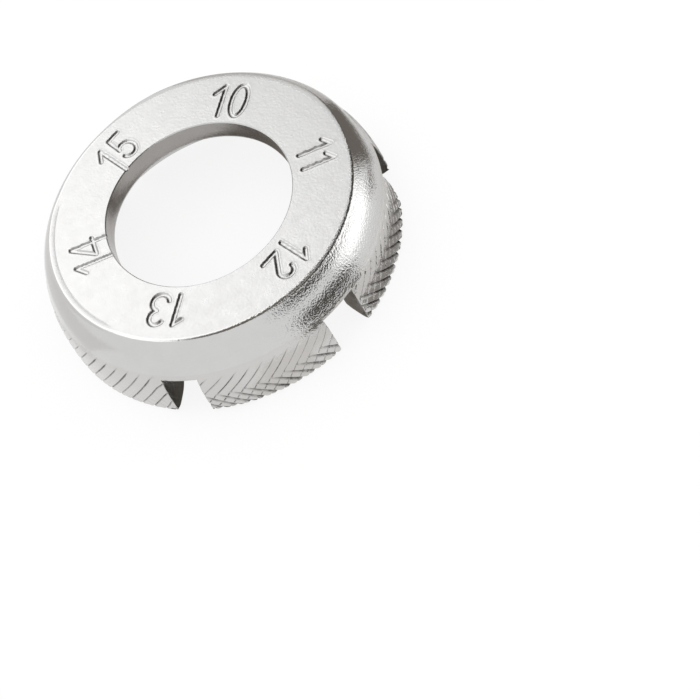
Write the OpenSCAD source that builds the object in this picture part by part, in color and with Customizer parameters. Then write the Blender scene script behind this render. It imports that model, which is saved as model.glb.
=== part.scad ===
// Ring-shaped spoke wrench with six gauge slots, forged, cut, stamped and plated as one piece.
// Millimetres. The rim rests on Z = 0 and the bore's axis is Z, with the numbered face on top.

/* [Ring] */
// Diameter over the knurled rim
rim_d = 42; // [40:0.5:46]
// Height from the plane the rim rests on to the numbered face
ring_h = 10.2; // [9.8:0.1:12]
// Diameter of the flat numbered face
face_d = 35.5; // [34:0.5:36]
// Width of the rounding round the numbered face
face_edge = 0.35; // [0.1:0.05:0.6]
// Diameter of the central bore
bore_d = 22; // [20:0.5:22.5]
// Chamfer at the bore's edge in the numbered face
bore_edge = 0.15; // [0.05:0.05:0.4]

/* [Outer wall] */
// Height of the neck, where the knurled band ends and the shoulder begins
neck_h = 5.95; // [5.5:0.05:7]
// How far the neck lies inside the rim's radius
neck_in = 0.65; // [0.3:0.05:0.9]
// Radial width of the small bevel outside the rim's land
land_bevel = 0.75; // [0.3:0.05:1]
// Rise of the rim's crowned land from its lowest ring to its inner edge
land_rise = 0.45; // [0.2:0.05:0.8]

/* [Cup] */
// Diameter of the cup at its mouth, the land's inner edge
cup_d = 34.9; // [34:0.1:36]
// Draft of the cup's wall, in degrees
cup_draft = 9; // [4:1:12]
// Fillet between the cup's wall and its floor
cup_fillet = 1.4; // [0.8:0.1:1.5]
// Thickness of the web between the cup's floor and the numbered face
web_t = 2.5; // [1.8:0.1:2.6]
// Width of the ledge between the fillet and the low step in the cup's floor
step_in = 0.1; // [0.05:0.05:0.4]
// Height of that step
step_h = 0.12; // [0.05:0.01:0.25]
// Diameter at which the bead round the bore starts to rise
bead_d = 26.4; // [25.5:0.1:27]
// Diameter of the bead's crest
crest_d = 24; // [23.6:0.1:25]
// Height of the bead above the cup's floor
bead_h = 0.3; // [0.1:0.05:0.5]
// Rounding from the bead into the bore
bead_r = 0.3; // [0.2:0.05:0.5]

/* [Slots] */
// Width of the slot for 10 gauge nipples
slot_10_w = 5.5; // [5.2:0.1:5.8]
// Width of the slot for 11 gauge nipples
slot_11_w = 5; // [4.7:0.1:5.2]
// Width of the slot for 12 gauge nipples
slot_12_w = 4.6; // [4.3:0.1:4.8]
// Width of the slot for 13 gauge nipples
slot_13_w = 4.1; // [3.9:0.05:4.3]
// Width of the slot for 14 gauge nipples
slot_14_w = 3.5; // [3.4:0.05:3.7]
// Width of the slot for 15 gauge nipples
slot_15_w = 3.3; // [3.2:0.05:3.5]
// Height of the slots' flat floors above the plane the rim rests on
slot_h = 5.7; // [5:0.1:6]

/* [Knurl] */
// Grooves of each family round the whole rim
knurl_count = 84; // [72:4:96]
// Lean of the grooves away from the ring's axis, in degrees
knurl_lean = 45; // [40:1:50]
// Depth of the long grooves, which climb to the neck
long_depth = 0.16; // [0.1:0.02:0.2]
// Depth of the short grooves, which notch the rim's edge
short_depth = 0.26; // [0.14:0.02:0.3]

/* [Numbers] */
// Height of a stamped digit between the middles of its strokes
digit_h = 4; // [3.4:0.1:4.4]
// Distance between the middles of a number's two digits
digit_pitch = 2.2; // [2:0.1:2.4]
// Width of a stroke
stroke_w = 0.5; // [0.3:0.05:0.6]
// Depth of the stamping
stamp_depth = 0.25; // [0.1:0.05:0.4]

/* [Hidden] */

// Drop of the face edge's rounding, as a share of its width
edge_drop_share = 0.7;
// Handles of the outer wall's two curves, as shares of each curve's own run and rise
flank_shares = [[0, 0.45], [0.4, 0.8]];
shoulder_shares = [[0.18, 0.21], [0.27, 0.59]];
// Middle height and length of each groove family, as shares of the neck's height
long_shares = [0.5, 1.3];
short_shares = [0, 1];
// Tip of each groove family's lower end towards the axis, in degrees
long_tip = -4;
short_tip = 3;
// Side of the square bar that cuts a groove, as a share of the cutters' overrun
bar_share = 1.2;
// Width of a digit's bowls, as a share of the digit's height
bowl_share = 0.475;

rim_r = rim_d / 2;
face_r = face_d / 2;
bore_r = bore_d / 2;
cup_r = cup_d / 2;
crest_r = crest_d / 2;
bead_out_r = bead_d / 2;
neck_r = rim_r - neck_in;
shoulder_r = face_r + face_edge;
shoulder_h = ring_h - face_edge * edge_drop_share;
floor_h = ring_h - web_t;
crest_h = floor_h - bead_h;
// Overrun of every cutter past the faces that it opens
over = rim_r / 20;

// Each slot: its gauge's digits, its angle, its width, and its number's angle and place,
// which is a share of the face's width counted from the bore
SLOTS = [
    [[1, 0], 90, slot_10_w, 90.4, 0.46],
    [[1, 1], 28.4, slot_11_w, 28.8, 0.47],
    [[1, 2], -28, slot_12_w, -27.6, 0.47],
    [[1, 3], -83.5, slot_13_w, -87.2, 0.44],
    [[1, 4], -146, slot_14_w, -144.4, 0.36],
    [[1, 5], 152, slot_15_w, 152.3, 0.42]
];

// Points along a cubic curve from a to d with handles b and c
function curve(a, b, c, d, steps) = [
    for (i = [0:steps]) let (t = i / steps, u = 1 - t)
        a * u * u * u + b * 3 * u * u * t + c * 3 * u * t * t + d * t * t * t
];

// A curve from a to d whose handles are shares of its run and rise
function shaped(a, d, shares, steps) = let (s = d - a) curve(
    a,
    a + [s[0] * shares[0][0], s[1] * shares[0][1]],
    a + [s[0] * shares[1][0], s[1] * shares[1][1]],
    d,
    steps
);

// Points on an arc about c, from one angle to another
function arc(c, r, from, to, steps) = [
    for (i = [0:steps]) let (a = from + (to - from) * i / steps) c + r * [cos(a), sin(a)]
];

// Radius of an arc from its chord and its rise
function arc_r(chord, rise) = (chord * chord / 4 + rise * rise) / (2 * rise);

function reversed(list) = [for (i = [len(list) - 1:-1:0]) list[i]];

// The land's crown is an arc from the bevel to the cup's mouth, lowest on Z = 0
bevel_h = land_rise / 4;
land_w = rim_r - land_bevel - cup_r;
crown_mid_r = cup_r + land_w / (1 + sqrt(bevel_h / land_rise));
crown_r = arc_r(2 * (crown_mid_r - cup_r), land_rise);
crown_from = asin((cup_r + land_w - crown_mid_r) / crown_r);
crown_to = -asin((crown_mid_r - cup_r) / crown_r);

// The fillet touches the drafted wall and the cup's outer floor
fillet_h = floor_h + step_h - cup_fillet;
fillet_r = cup_r - (fillet_h - land_rise) * tan(cup_draft) - cup_fillet / cos(cup_draft);

flank = shaped([rim_r, land_rise], [neck_r, neck_h], flank_shares, 3);
shoulder = shaped([neck_r, neck_h], [shoulder_r, shoulder_h], shoulder_shares, 10);

// Radius of the outer wall at height h, between the rim's edge and the neck
function flank_r(h) = lookup(h, [for (p = flank) [p[1], p[0]]]);

function section() = concat(
    [[bore_r, ring_h - bore_edge], [bore_r + bore_edge, ring_h]],
    curve([face_r, ring_h], [face_r + face_edge / 4, ring_h],
        [face_r + face_edge * 2 / 3, ring_h - face_edge / 8], [shoulder_r, shoulder_h], 4),
    [for (i = [len(shoulder) - 2:-1:1]) shoulder[i]],
    reversed(flank),
    arc([crown_mid_r, crown_r], crown_r, crown_from - 90, crown_to - 90, 8),
    arc([fillet_r, fillet_h], cup_fillet, cup_draft, 90, 8),
    [[fillet_r - step_in, floor_h + step_h], [fillet_r - step_in, floor_h]],
    curve([bead_out_r, floor_h], [(bead_out_r + crest_r) / 2, floor_h],
        [(bead_out_r + crest_r) / 2, crest_h], [crest_r, crest_h], 6),
    arc([bore_r + bead_r, crest_h + bead_r], bead_r, -90, -180, 5)
);

module blank() {
    rotate_extrude($fn = 180) polygon(section());
}

// Every slot is cut from inside the cup out through the rim
module slots() {
    for (s = SLOTS)
        rotate([0, 0, s[1]])
            translate([bore_r, -s[2] / 2, -over])
                cube([rim_r - bore_r + over, s[2], slot_h + over]);
}

// One groove: a square bar with an edge towards the axis at radius r and height h.
// It leans sideways by lean degrees, and its lower end is tipped inwards by tip degrees.
module groove(r, h, length, lean, tip) {
    bar = over * bar_share;
    translate([r + bar / sqrt(2), 0, h])
        rotate([lean, 0, 0])
            rotate([0, tip, 0])
                rotate([0, 0, 45])
                    cube([bar, bar, length], center = true);
}

module knurl() {
    step = 360 / knurl_count;
    long_h = neck_h * long_shares[0];
    long_l = neck_h * long_shares[1] / cos(knurl_lean);
    short_h = land_rise + neck_h * short_shares[0];
    short_l = neck_h * short_shares[1] / cos(knurl_lean);
    for (i = [0:knurl_count - 1]) rotate([0, 0, i * step]) {
        groove(flank_r(long_h) - long_depth, long_h, long_l, -knurl_lean, long_tip);
        rotate([0, 0, step / 2])
            groove(rim_r - short_depth, short_h, short_l, knurl_lean, short_tip);
    }
}

// Strokes are flat shapes with round ends
module line_stroke(a, b) {
    d = b - a;
    translate(a) rotate(atan2(d[1], d[0])) {
        translate([0, -stroke_w / 2]) square([norm(d), stroke_w]);
        circle(d = stroke_w, $fn = 24);
        translate([norm(d), 0]) circle(d = stroke_w, $fn = 24);
    }
}

module arc_stroke(c, r, from, to) {
    intersection() {
        translate(c) difference() {
            circle(r = r + stroke_w / 2, $fn = 48);
            circle(r = r - stroke_w / 2, $fn = 48);
        }
        polygon(concat([c], arc(c, 2 * (r + stroke_w), from, to, 6)));
    }
    for (a = [from, to])
        translate(c + r * [cos(a), sin(a)]) rotate(a) circle(d = stroke_w, $fn = 24);
}

// A digit is centred on the origin
module digit(n) {
    h = digit_h / 2;
    r = digit_h * bowl_share / 2;
    top = [0, h - r];
    low = [0, r - h];
    if (n == 0) {
        arc_stroke(top, r, 0, 180);
        arc_stroke(low, r, 180, 360);
        line_stroke([-r, r - h], [-r, h - r]);
        line_stroke([r, r - h], [r, h - r]);
    } else if (n == 1) {
        line_stroke([0, -h], [0, h]);
        line_stroke([0, h], [-r, h - r]);
    } else if (n == 2) {
        join = top + r * [cos(-35), sin(-35)];
        arc_stroke(top, r, -35, 170);
        line_stroke(join, [-r, -h]);
        line_stroke([-r, -h], [r, -h]);
    } else if (n == 3) {
        arc_stroke(top, r, -90, 150);
        arc_stroke(low, r, -160, 90);
    } else if (n == 4) {
        line_stroke([r * 0.7, -h], [r * 0.7, h]);
        line_stroke([r * 0.7, h], [-r, -h * 0.4]);
        line_stroke([-r, -h * 0.4], [r * 1.2, -h * 0.4]);
    } else {
        join = low + r * [cos(120), sin(120)];
        arc_stroke(low, r, -150, 120);
        line_stroke(join, [-r * 0.6, h]);
        line_stroke([-r * 0.6, h], [r * 0.9, h]);
    }
}

// The two digits stand side by side with their tops outwards
module numbers() {
    for (s = SLOTS)
        rotate([0, 0, s[3]])
            translate([bore_r + (face_r - bore_r) * s[4], 0, ring_h - stamp_depth])
                rotate([0, 0, -90])
                    linear_extrude(stamp_depth + over) {
                        translate([-digit_pitch / 2, 0]) digit(s[0][0]);
                        translate([digit_pitch / 2, 0]) digit(s[0][1]);
                    }
}

module wrench_ring() {
    color("silver") difference() {
        blank();
        slots();
        knurl();
        numbers();
    }
}

wrench_ring();
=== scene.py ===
"""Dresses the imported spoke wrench: a forged, plated ring with a knurled rim and six gauge slots.

The ring is one closed mesh made of rows of points round the bore's axis, in the same frame as
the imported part. The knurl is a Geometry Nodes tree, the stamped numbers are pressed into the
face's own points, and every finish is a procedural material on object coordinates.
"""

import math

import bmesh
import bpy
import numpy as np
from bpy.props import FloatProperty, FloatVectorProperty, IntProperty, PointerProperty
from mathutils import Euler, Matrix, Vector


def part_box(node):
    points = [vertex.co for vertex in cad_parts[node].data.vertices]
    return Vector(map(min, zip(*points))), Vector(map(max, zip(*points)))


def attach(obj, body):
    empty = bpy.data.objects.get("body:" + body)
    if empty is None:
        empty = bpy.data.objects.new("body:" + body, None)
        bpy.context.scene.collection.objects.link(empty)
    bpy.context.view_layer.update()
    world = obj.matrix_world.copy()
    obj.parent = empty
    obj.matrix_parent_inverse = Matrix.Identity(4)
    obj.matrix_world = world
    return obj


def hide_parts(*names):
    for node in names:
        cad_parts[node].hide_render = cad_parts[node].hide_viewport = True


bl_info = {
    "name": "Ring spoke wrench",
    "version": (1, 0, 0),
    "blender": (4, 5, 0),
    "location": "3D View > Sidebar > Spoke wrench",
    "description": "Builds a plated ring spoke wrench with a knurled rim, and its studio",
    "category": "Add Mesh",
}

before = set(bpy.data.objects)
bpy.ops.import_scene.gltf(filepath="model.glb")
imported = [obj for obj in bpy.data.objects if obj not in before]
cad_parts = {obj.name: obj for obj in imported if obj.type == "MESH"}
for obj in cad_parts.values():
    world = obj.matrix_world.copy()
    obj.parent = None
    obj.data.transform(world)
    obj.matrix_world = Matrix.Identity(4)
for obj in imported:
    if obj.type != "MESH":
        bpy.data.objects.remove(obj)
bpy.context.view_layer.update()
NODE = "wrench_ring"
NODE_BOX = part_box(NODE)
MM = 0.001
RING_HEIGHT = NODE_BOX[1].z - NODE_BOX[0].z

TURN = 2 * math.pi

# Zones of the ring, each with its own finish
FACE, SHOULDER, BAND, LAND, CUP, SLOT, BORE = range(7)

# How many steps or rows each stretch of the ring is drawn with
CURVE_STEPS = 60
LAND_STEPS = 8
WALL_STEPS = 8
FILLET_STEPS = 8
BEAD_STEPS = 8
BORE_LIP_STEPS = 5
SHOULDER_STEPS = 16
FACE_EDGE_STEPS = 7
SLOT_STEPS = 8
ROUND_STEPS = 3
BAND_ROWS = 3

# Forms of the outline, as shares of the sizes that they follow
BROW_DROP_SHARE = 0.7
FLANK_SHARES = ((0, 0.45), (0.4, 0.8))
SHOULDER_SHARES = ((0.18, 0.21), (0.27, 0.59))
LAND_LOW_SHARE = 0.25
SLOT_EDGE_SHARE = 0.3
EDGE_OUT_SHARE = 0.3
EDGE_IN_SHARE = 0.6
EDGE_TOP_SHARE = 0.125

# A stamped stroke: where its flank begins, where its lip's crest lies and how wide the lip is, as
# shares of its half width, and the lip's height as a share of its depth
FLANK_START_SHARE = 0.36
LIP_PLACE_SHARE = 1.25
LIP_WIDTH_SHARE = 0.25
LIP_HEIGHT_SHARE = 0.1

# The numbered face, in millimetres: how far a number's strokes may lie from its middle, the bare
# margin round them, the radii at which that margin and the spacing are measured, the distance
# between points, and the radius of the outermost row that a number can reach
NUMBER_REACH = 4.2
NUMBER_MARGIN = 0.5
MARGIN_RADIUS = 12.6
SPACING_RADIUS = 14.0
FACE_GRID = 0.08
NUMBER_TOP = 16.65
# Share of a coarse column that is kept clear beside the fine columns
COARSE_MARGIN = 0.6

# The shallow dip: its arc's ends and their softness in degrees, and its rows, each as its distance
# from the face's edge in millimetres and its share of the dip's depth
DIP_ARC = (-172, -112, 10)
DIP_ROWS = ((0.32, 0.5), (0.45, 1.0), (0.56, 0.0))
# The swollen shoulder: its arc's ends and their softness in degrees, and how far below the brow it
# is full, in millimetres
SWELL_ARC = (62, 122, 30)
SWELL_FULL = 1

# The bore, in millimetres: its chamfer's width and drop, the rows' depths below the face, the first
# row above the bead's crest and the rounding of its lower edge
BORE_CHAMFER = 0.12
CHAMFER_DROP = 0.1
CHAMFER_STAMP_SHARE = 0.95
BORE_ROWS = (0.4, 0.9, 1.5)
BORE_LIP_ROW = 0.35
BORE_LIP = 0.3

# The cup's floor, in millimetres: a row outside the bead, and the low step's place and run
FLOOR_ROW = 0.6
STEP_BACK = 0.1
STEP_RUN = 0.02

# The teeth, in millimetres: the span over which the flank's slope is measured, how far the cup's
# wall stops below a slot's roof, how far outside the cup's mouth the knurled flank begins, the
# height above a slot's roof that its columns are taken from, and a hair's breadth for comparing
SLOPE_SPAN = 0.05
WALL_STOP = 0.02
KNURL_START = 2.2
COLUMNS_ABOVE = 0.6
HAIR = 0.01
# Share of a fine column that is kept clear beside a slot
COLUMN_MARGIN = 0.35
# How many columns from a short groove's middle still follow it
GROOVE_COLUMNS = 2
# Rows of the bevel: share of the way over it, and how much knurl is left
BEVEL_ROWS = ((0.5, 0.45), (1.0, 0.0))
# Ways into the metal (outwards and up) from the rim's edge, the bevel, the land and the cup's mouth
RIM_INWARD = np.array([-0.8, 0.6])
BEVEL_INWARD = (-0.3, 0.95)
LAND_INWARD = (0.0, 1.0)
MOUTH_INWARD = (0.7, 0.7)

# Angles in radians below which two rows count as alike and two columns as one
ALIKE_ANGLE = 0.02
SAME_ANGLE = 1e-6


class WrenchSizes(bpy.types.PropertyGroup):
    """Driving sizes of the ring, the same as the part's."""

    rim_radius: FloatProperty(
        name="Rim radius", description="Radius over the knurled rim",
        default=0.021, unit="LENGTH")
    height: FloatProperty(
        name="Height", description="From the plane the rim rests on to the numbered face",
        default=RING_HEIGHT, unit="LENGTH")
    face_radius: FloatProperty(
        name="Face radius", description="Radius of the flat numbered face",
        default=0.01775, unit="LENGTH")
    face_edge: FloatProperty(
        name="Face edge", description="Width of the rounding round the numbered face",
        default=0.00035, unit="LENGTH")
    bore_radius: FloatProperty(
        name="Bore radius", description="Radius of the central bore",
        default=0.011, unit="LENGTH")
    neck_height: FloatProperty(
        name="Neck height", description="Where the knurled band ends and the shoulder begins",
        default=0.00595, unit="LENGTH")
    neck_in: FloatProperty(
        name="Neck depth", description="How far the neck lies inside the rim's radius",
        default=0.00065, unit="LENGTH")
    land_rise: FloatProperty(
        name="Land rise", description="Rise of the rim's land to its inner edge",
        default=0.00045, unit="LENGTH")
    land_bevel: FloatProperty(
        name="Land bevel", description="Radial width of the bevel outside the land",
        default=0.00075, unit="LENGTH")
    cup_radius: FloatProperty(
        name="Cup radius", description="Radius of the cup's mouth",
        default=0.01745, unit="LENGTH")
    cup_draft: FloatProperty(
        name="Cup draft", description="Lean of the cup's wall",
        default=math.radians(9), subtype="ANGLE")
    cup_fillet: FloatProperty(
        name="Cup fillet", description="Fillet between the cup's wall and its floor",
        default=0.0014, unit="LENGTH")
    web: FloatProperty(
        name="Web", description="Thickness between the cup's floor and the numbered face",
        default=0.0025, unit="LENGTH")
    step: FloatProperty(
        name="Step", description="Height of the low step in the cup's floor",
        default=0.00012, unit="LENGTH")
    bead_radius: FloatProperty(
        name="Bead radius", description="Radius at which the bead round the bore rises",
        default=0.0132, unit="LENGTH")
    crest_radius: FloatProperty(
        name="Crest radius", description="Radius of the bead's crest",
        default=0.012, unit="LENGTH")
    bead_height: FloatProperty(
        name="Bead height", description="Height of the bead above the cup's floor",
        default=0.0003, unit="LENGTH")
    edge_reach: FloatProperty(
        name="Edge reach", description="How far the rounding of the face's edge reaches in over the face",
        default=0.00022, unit="LENGTH")
    back_swell: FloatProperty(
        name="Back swell", description="How far the shoulder stands out behind the slots 10 and 11",
        default=0.0003, unit="LENGTH")
    border_dip: FloatProperty(
        name="Border dip", description="Depth of the shallow dip along the face's edge between the "
        "numbers 13 and 15", default=0.00006, unit="LENGTH")
    slot_height: FloatProperty(
        name="Slot height", description="Height of the slots' floors above the rim",
        default=0.0057, unit="LENGTH")
    stamp_depth: FloatProperty(
        name="Stamp depth", description="Depth of the stamped numbers",
        default=0.00016, unit="LENGTH")
    stroke: FloatProperty(
        name="Stroke", description="Width of a stamped stroke",
        default=0.0006, unit="LENGTH")


class KnurlSizes(bpy.types.PropertyGroup):
    """The two families of grooves in the rim."""

    count: IntProperty(
        name="Grooves", description="Grooves of each family round the whole rim", default=84)
    lean: FloatProperty(
        name="Lean", description="Lean of the grooves from the ring's axis",
        default=math.radians(45), subtype="ANGLE")
    long_depth: FloatProperty(
        name="Long depth", description="Depth of the long grooves",
        default=0.00015, unit="LENGTH")
    long_width: FloatProperty(
        name="Long width", description="Width of the long grooves",
        default=0.00023, unit="LENGTH")
    short_depth: FloatProperty(
        name="Short depth", description="Depth of the short grooves at the rim's edge",
        default=0.0003, unit="LENGTH")
    short_width: FloatProperty(
        name="Short width", description="Width of the short grooves",
        default=0.0005, unit="LENGTH")
    deep_from: FloatProperty(
        name="Deep from", description="Where the short grooves begin to be cut deeper and higher",
        default=math.radians(-32), subtype="ANGLE")
    deep_to: FloatProperty(
        name="Deep to", description="Where the short grooves cease to be cut deeper and higher",
        default=math.radians(24), subtype="ANGLE")
    deep_rise: FloatProperty(
        name="Deep rise", description="How much higher the deeper short grooves reach",
        default=0.001, unit="LENGTH")
    deep_gain: FloatProperty(
        name="Deep gain", description="How much deeper those grooves are, as a share of the others' depth",
        default=0.32, subtype="FACTOR")
    short_top: FloatProperty(
        name="Short top", description="Height at which the short grooves run out",
        default=0.0032, unit="LENGTH")
    bare_from: FloatProperty(
        name="Bare from", description="Start of the arc that the short grooves barely reach",
        default=math.radians(-143), subtype="ANGLE")
    bare_to: FloatProperty(
        name="Bare to", description="End of that arc",
        default=math.radians(-86), subtype="ANGLE")


class StudioLook(bpy.types.PropertyGroup):
    """Camera, lights and colours of the studio."""

    camera_place: FloatVectorProperty(
        name="Camera", description="Where the camera stands",
        default=(0.0798175, -0.088535, 0.1442651), subtype="TRANSLATION", unit="LENGTH")
    camera_turn: FloatVectorProperty(
        name="Camera turn", description="The camera's rotation",
        default=tuple(math.radians(a) for a in (30.8755, 15.8754, 14.1638)), subtype="EULER")
    lens: FloatProperty(
        name="Lens", description="Focal length in millimetres on a 36 mm sensor", default=82.29)
    world_level: FloatProperty(
        name="World level", description="Brightness of the white surroundings", default=1.0)
    key_level: FloatProperty(
        name="Key level", description="What the large panel behind adds to the white", default=0.74)
    side_level: FloatProperty(
        name="Side level", description="What the low panel on the right adds to it", default=0.8)
    floor_glow: FloatProperty(
        name="Floor glow", description="Share of plain white in the floor as it is seen",
        default=0.85, subtype="FACTOR")
    steel: FloatVectorProperty(
        name="Plated steel", description="Colour of the plate",
        default=(0.62, 0.618, 0.613), subtype="COLOR")
    bored_steel: FloatVectorProperty(
        name="Bored steel", description="Colour of the bore's thinner plate",
        default=(0.36, 0.34, 0.325), subtype="COLOR")
    dark_card: FloatVectorProperty(
        name="Dark card", description="Brightness of the darkest cards in the reflections",
        default=(0.08, 0.075, 0.065), subtype="COLOR")
    brown_card: FloatVectorProperty(
        name="Brown card", description="Brightness of the brown cards behind and overhead",
        default=(0.2, 0.18, 0.16), subtype="COLOR")
    # The grey sheet beside the ring is a painted shadow of the ring on the floor, seen only in reflections
    grey_card: FloatVectorProperty(
        name="Grey card", description="Brightness of the sheet beside the ring on the right",
        default=(0.35, 0.335, 0.32), subtype="COLOR")
    # The first of the mid sheets is a painted shadow of the ring on the floor behind it
    mid_card: FloatVectorProperty(
        name="Middle card", description="Brightness of the sheets behind the ring",
        default=(0.66, 0.64, 0.62), subtype="COLOR")
    pale_card: FloatVectorProperty(
        name="Pale card", description="Brightness of the palest sheets",
        default=(0.88, 0.87, 0.86), subtype="COLOR")
    floor: FloatVectorProperty(
        name="Floor", description="Colour of the floor",
        default=(0.95, 0.95, 0.95), subtype="COLOR")


# Each slot: its gauge, its angle in degrees and its width in millimetres
SLOTS = (
    (10, 90.0, 5.5),
    (11, 28.4, 5.0),
    (12, -28.0, 4.6),
    (13, -83.5, 4.1),
    (14, -146.0, 3.5),
    (15, 152.0, 3.3),
)


def line(*points):
    """A straight stroke through points on the face."""
    return list(points)


def arc(x, y, half_width, half_height, start, stop):
    """A curved stroke, part of an ellipse, angles in degrees."""
    steps = max(4, round(abs(stop - start) / 12))
    angles = np.radians(np.linspace(start, stop, steps + 1))
    return [(x + half_width * math.cos(a), y + half_height * math.sin(a)) for a in angles]


# Each number: its angle in degrees and its strokes. A point is how far it lies to the right of
# that angle, seen with the figures' tops outwards, and its distance from the axis, in millimetres
NUMBERS = (
    (90.0, (line((-1.25, 16.2), (-1.2, 11.95)), line((-1.3, 16.2), (-2.4, 15.0)),
            arc(0.93, 14.15, 0.95, 2.2, 0, 360))),
    (31.0, (line((-0.4, 16.15), (-0.45, 12.35)), line((-0.4, 16.1), (-1.35, 15.35)),
            line((1.7, 16.0), (1.65, 12.25)), line((1.7, 16.0), (0.75, 15.25)))),
    (-31.0, (line((-2.05, 16.1), (-1.85, 12.2)), line((-2.05, 16.05), (-2.9, 15.05)),
             arc(0.25, 15.25, 0.85, 0.85, 180, -28) + [(-0.6, 12.65)],
             line((-0.65, 12.55), (1.4, 12.65)))),
    (-88.5, (line((-1.4, 15.8), (-1.4, 12.0)), line((-1.4, 15.75), (-2.35, 15.0)),
             arc(0.7, 15.0, 0.85, 0.9, 150, -75), arc(0.7, 13.1, 1.0, 1.0, 75, -165))),
    (-145.0, (line((-0.95, 15.4), (-1.35, 10.9)), line((-1.0, 15.35), (-2.15, 14.4)),
              line((1.8, 15.3), (1.5, 10.9)), line((1.75, 15.3), (-0.25, 12.7)),
              line((-0.25, 12.65), (2.15, 12.6)))),
    (152.5, (line((-1.1, 15.85), (-1.2, 10.9)), line((-1.15, 15.8), (-2.1, 14.55)),
             line((2.05, 16.0), (0.45, 16.0), (0.3, 13.75)),
             arc(1.0, 13.1, 1.0, 1.15, 130, -155))),
)


def stroke_distance(points, strokes):
    """Distance from each point to the nearest stroke."""
    nearest = np.full(len(points), 1e9)
    for stroke in strokes:
        for a, b in zip(stroke[:-1], stroke[1:]):
            a, b = np.array(a), np.array(b)
            along = b - a
            t = np.clip((points - a) @ along / max(along @ along, 1e-12), 0, 1)
            gap = np.linalg.norm(points - (a + t[:, None] * along), axis=1)
            nearest = np.minimum(nearest, gap)
    return nearest


def stamped(x, y, sizes):
    """Height of the stamped face at each point, in millimetres: strokes with a low raised lip."""
    half = sizes.stroke / MM / 2
    depth = sizes.stamp_depth / MM
    height = np.zeros(len(x))
    for angle, strokes in NUMBERS:
        turn = math.radians(angle)
        across = x * math.sin(turn) - y * math.cos(turn)
        out = x * math.cos(turn) + y * math.sin(turn)
        near = (np.abs(across) < NUMBER_REACH) & (out > 0)
        gap = stroke_distance(np.stack([across[near], out[near]], 1), strokes)
        flank = np.clip((gap - half * FLANK_START_SHARE) / (half * (1 - FLANK_START_SHARE)), 0, 1)
        cut = -depth * (1 - flank)
        from_crest = (gap - half * LIP_PLACE_SHARE) / (half * LIP_WIDTH_SHARE)
        lip = LIP_HEIGHT_SHARE * depth * np.exp(-from_crest ** 2)
        height[near] = cut + lip
    return height


def bezier(a, b, c, d, steps):
    """Points along a cubic curve."""
    t = np.linspace(0, 1, steps + 1)[:, None]
    a, b, c, d = (np.array(p, float) for p in (a, b, c, d))
    return a * (1 - t) ** 3 + 3 * b * t * (1 - t) ** 2 + 3 * c * t * t * (1 - t) + d * t ** 3


def shaped(a, d, shares, steps):
    """A cubic curve whose handles are shares of its run and rise."""
    a, d = np.array(a, float), np.array(d, float)
    return bezier(a, a + (d - a) * shares[0], a + (d - a) * shares[1], d, steps)


class Section:
    """The ring's outline in millimetres: radius and height of each stretch of its wall."""

    def __init__(self, sizes):
        s = {k: getattr(sizes, k) / MM for k in (
            "rim_radius", "height", "face_radius", "face_edge", "bore_radius", "neck_height",
            "neck_in", "land_rise", "land_bevel", "cup_radius", "cup_fillet", "web", "step",
            "bead_radius", "crest_radius", "bead_height", "slot_height")}
        self.s = s
        self.draft = sizes.cup_draft
        self.rim = np.array([s["rim_radius"], s["land_rise"]])
        self.neck = np.array([s["rim_radius"] - s["neck_in"], s["neck_height"]])
        edge = s["face_edge"]
        self.brow = np.array([s["face_radius"] + edge, s["height"] - BROW_DROP_SHARE * edge])
        flank = shaped(self.rim, self.neck, FLANK_SHARES, CURVE_STEPS)
        shoulder = shaped(self.neck, self.brow, SHOULDER_SHARES, CURVE_STEPS)
        self.wall = np.vstack([flank, shoulder[1:]])
        self.floor = s["height"] - s["web"]
        self.crest = self.floor - s["bead_height"]

    def outer_r(self, z):
        """Radius of the outer wall at height z."""
        return np.interp(z, self.wall[:, 1], self.wall[:, 0])

    def inner_r(self, z):
        """Radius of the cup's drafted wall at height z."""
        return self.s["cup_radius"] - (z - self.s["land_rise"]) * math.tan(self.draft)

    def land(self, steps):
        """The crowned land from its bevel to the cup's mouth."""
        s = self.s
        outer = s["rim_radius"] - s["land_bevel"]
        low = s["land_rise"] * LAND_LOW_SHARE
        middle = s["cup_radius"] + (outer - s["cup_radius"]) / (1 + math.sqrt(low / s["land_rise"]))
        half = middle - s["cup_radius"]
        crown = (half * half + s["land_rise"] ** 2) / (2 * s["land_rise"])
        r = np.linspace(outer, s["cup_radius"], steps + 1)
        return np.stack([r, crown - np.sqrt(crown ** 2 - (r - middle) ** 2)], 1)

    def fillet(self, steps):
        """The fillet from the cup's wall to its outer floor, from the wall up."""
        s = self.s
        z = self.floor + s["step"] - s["cup_fillet"]
        r = self.inner_r(z) - s["cup_fillet"] / math.cos(self.draft)
        a = np.linspace(self.draft, math.pi / 2, steps + 1)
        return np.stack([r + s["cup_fillet"] * np.cos(a), z + s["cup_fillet"] * np.sin(a)], 1)


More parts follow.
